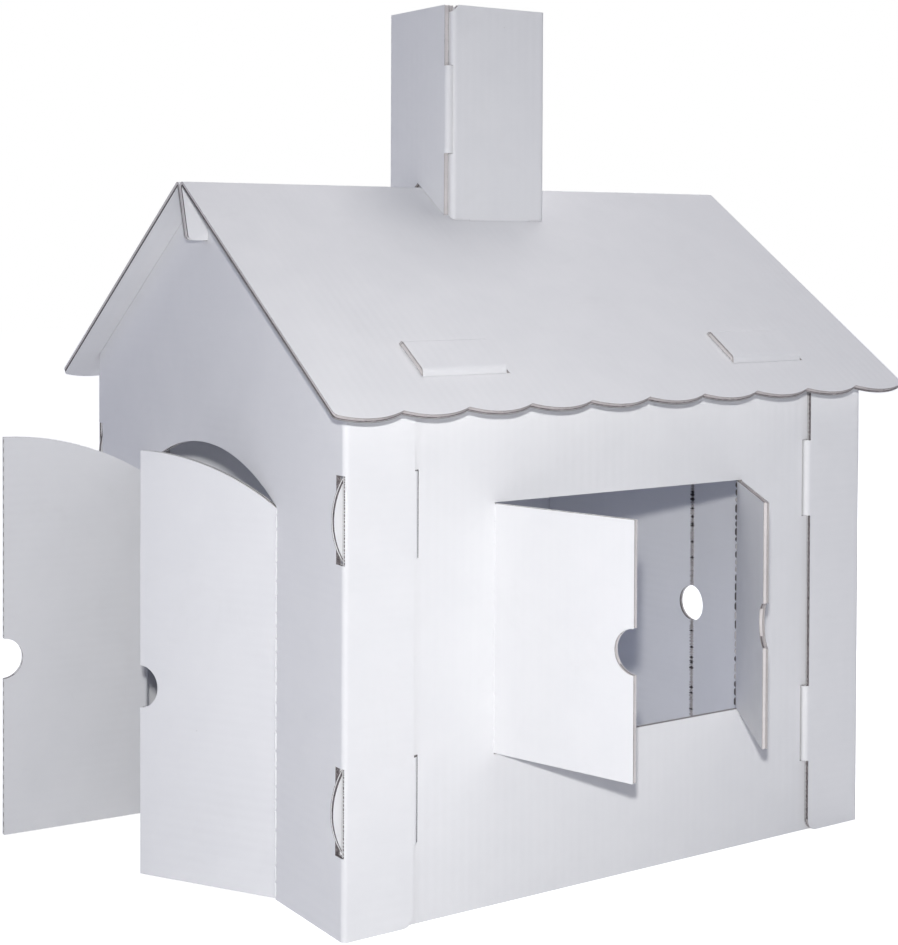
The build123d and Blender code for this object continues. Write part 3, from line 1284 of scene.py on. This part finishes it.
@dataclass(frozen=True)
class KeyLamp:
    """The small key lamp beside the camera, which gives the shutters their crisp shadows."""

    place: Place = (1.290, -0.882, 0.582)
    aim: Place = (0.216, 0.45, -0.18)
    cone: float = math.radians(110.0)
    radius: float = 0.018
    power: float = 54.0
    colour: Colour = (1.0, 0.995, 0.985)

    def hang(self, centre: Vector) -> None:
        """Hangs the lamp.

        Args:
            centre: The middle of the house at floor level.
        """
        lamp = bpy.data.lights.new("key_lamp", "SPOT")
        lamp.energy = self.power
        lamp.color = self.colour
        lamp.shadow_soft_size = self.radius
        lamp.spot_size = self.cone
        lamp.spot_blend = 1.0
        aim_lamp(lamp, centre + Vector(self.place), centre + Vector(self.aim))


@dataclass(frozen=True)
class SoftLamp:
    """A soft square lamp that the camera doesn't see. Its place and aim count from the house's centre."""

    name: str
    place: Place
    aim: Place
    size: float
    power: float
    colour: Colour

    def hang(self, centre: Vector) -> None:
        """Hangs the lamp.

        Args:
            centre: The middle of the house at floor level.
        """
        lamp = bpy.data.lights.new(self.name, "AREA")
        lamp.energy = self.power
        lamp.size = self.size
        lamp.color = self.colour
        aim_lamp(lamp, centre + Vector(self.place), centre + Vector(self.aim)).visible_camera = False


@dataclass(frozen=True)
class Studio:
    """A pale floor, a small key lamp beside the camera, soft lamps above and around, and an even fill."""

    floor_reach: float = 8.0
    floor_colour: Colour = (0.78, 0.78, 0.79)
    floor_glow: float = 0.86
    floor_fill: float = 0.02
    fill_colour: Colour = (0.76, 0.80, 1.0)
    fill_strength: float = 0.24
    lamps: tuple[KeyLamp | SoftLamp, ...] = (
        KeyLamp(),
        SoftLamp("top_lamp", (-0.1, 0.45, 2.2), (0.0, 0.0, 0.3), size=0.8, power=12.3, colour=(1.0, 0.97, 0.96)),
        SoftLamp("inner_lamp", (0.02, -0.02, 0.03), (0.0, 0.245, 0.2), size=0.12, power=0.15,
                 colour=(0.68, 0.74, 1.0)),
        SoftLamp("side_lamp", (-0.7, -1.6, 0.7), (-0.1, -0.25, 0.25), size=1.0, power=2.8, colour=(0.84, 0.85, 1.0)),
        SoftLamp("back_lamp", (-1.5, 1.5, 1.1), (0.0, 0.0, 0.2), size=1.2, power=20.0, colour=(0.95, 0.96, 1.0)),
    )

    def build(self, centre: Vector) -> None:
        """Sets up the floor, the lamps and the world.

        Args:
            centre: The middle of the house at floor level.
        """
        self._floor(centre)
        for lamp in self.lamps:
            lamp.hang(centre)
        self._world()
        bpy.context.scene.view_settings.view_transform = "Standard"

    def _fill_or_white(self, nodes: Nodes, seen: Socket) -> Socket:
        """Mixes the fill's colour for the light with plain white for the camera."""
        return nodes.mix(seen, (*self.fill_colour, 1.0), (*WHITE, 1.0))

    def _floor(self, centre: Vector) -> None:
        """Lays the pale floor, which stays white to the camera but for the house's shadow.

        Args:
            centre: The middle of the house at floor level.
        """
        data = bpy.data.meshes.new("floor")
        signs = ((-1, -1), (1, -1), (1, 1), (-1, 1))
        corners = [(centre.x + x * self.floor_reach, centre.y + y * self.floor_reach, 0.0) for x, y in signs]
        data.from_pydata(corners, [], [(0, 1, 2, 3)])
        floor = place_in_scene(data)
        material = bpy.data.materials.new("pale_floor")
        material.use_nodes = True
        nodes = Nodes(material.node_tree)
        matt = nodes.add("ShaderNodeBsdfDiffuse", {"Color": (*self.floor_colour, 1.0)})
        seen = nodes.add("ShaderNodeLightPath").outputs["Is Camera Ray"]
        strength = nodes.math("MULTIPLY_ADD", seen, self.floor_glow - self.floor_fill, self.floor_fill)
        glow = nodes.add("ShaderNodeEmission", {"Color": self._fill_or_white(nodes, seen), "Strength": strength})
        both = nodes.add("ShaderNodeAddShader", {0: matt.outputs[0], 1: glow.outputs[0]})
        nodes.add("ShaderNodeOutputMaterial", {"Surface": both.outputs[0]})
        data.materials.append(material)

    def _world(self) -> None:
        """Gives the even fill, with a white background for the camera."""
        world = bpy.data.worlds.new("studio")
        world.use_nodes = True
        nodes = Nodes(world.node_tree)
        seen = nodes.add("ShaderNodeLightPath").outputs["Is Camera Ray"]
        strength = nodes.math("MULTIPLY_ADD", seen, 1.0 - self.fill_strength, self.fill_strength)
        back = nodes.add("ShaderNodeBackground", {"Color": self._fill_or_white(nodes, seen), "Strength": strength})
        nodes.add("ShaderNodeOutputWorld", {"Surface": back.outputs[0]})
        bpy.context.scene.world = world


def place_in_scene(data: bpy.types.ID) -> Piece:
    """Makes an object of a mesh, lamp or camera, under the same name.

    Args:
        data: The mesh, lamp or camera.

    Returns:
        The object.
    """
    piece = bpy.data.objects.new(data.name, data)
    bpy.context.scene.collection.objects.link(piece)
    return piece


def aim_lamp(lamp: bpy.types.Light, place: Vector, aim: Vector) -> Piece:
    """Places a lamp's object and turns it to what it shines at.

    Args:
        lamp: The lamp.
        place: Where it hangs.
        aim: What it shines at.

    Returns:
        The lamp's object.
    """
    holder = place_in_scene(lamp)
    holder.location = place
    holder.rotation_euler = (aim - place).to_track_quat("-Z", "Y").to_euler()
    return holder


def house_centre() -> Vector:
    """Finds the middle of the walls at floor level, which is the middle of the two roof sheets.

    Returns:
        The middle.
    """
    boxes = [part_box("right_roof"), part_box("left_roof")]
    low = Vector([min(box[0][i] for box in boxes) for i in range(3)])
    high = Vector([max(box[1][i] for box in boxes) for i in range(3)])
    middle = (low + high) / 2
    return Vector((middle.x, middle.y, 0.0))


def main() -> None:
    """Builds the playhouse around the frame, with its studio and camera."""
    logging.basicConfig(level=logging.INFO, format="%(name)s: %(message)s")
    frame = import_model()
    centre = house_centre()
    Playhouse().build(frame, centre)
    Studio().build(centre)
    PhotoCamera().build(centre)


if __name__ == "__main__":
    main()
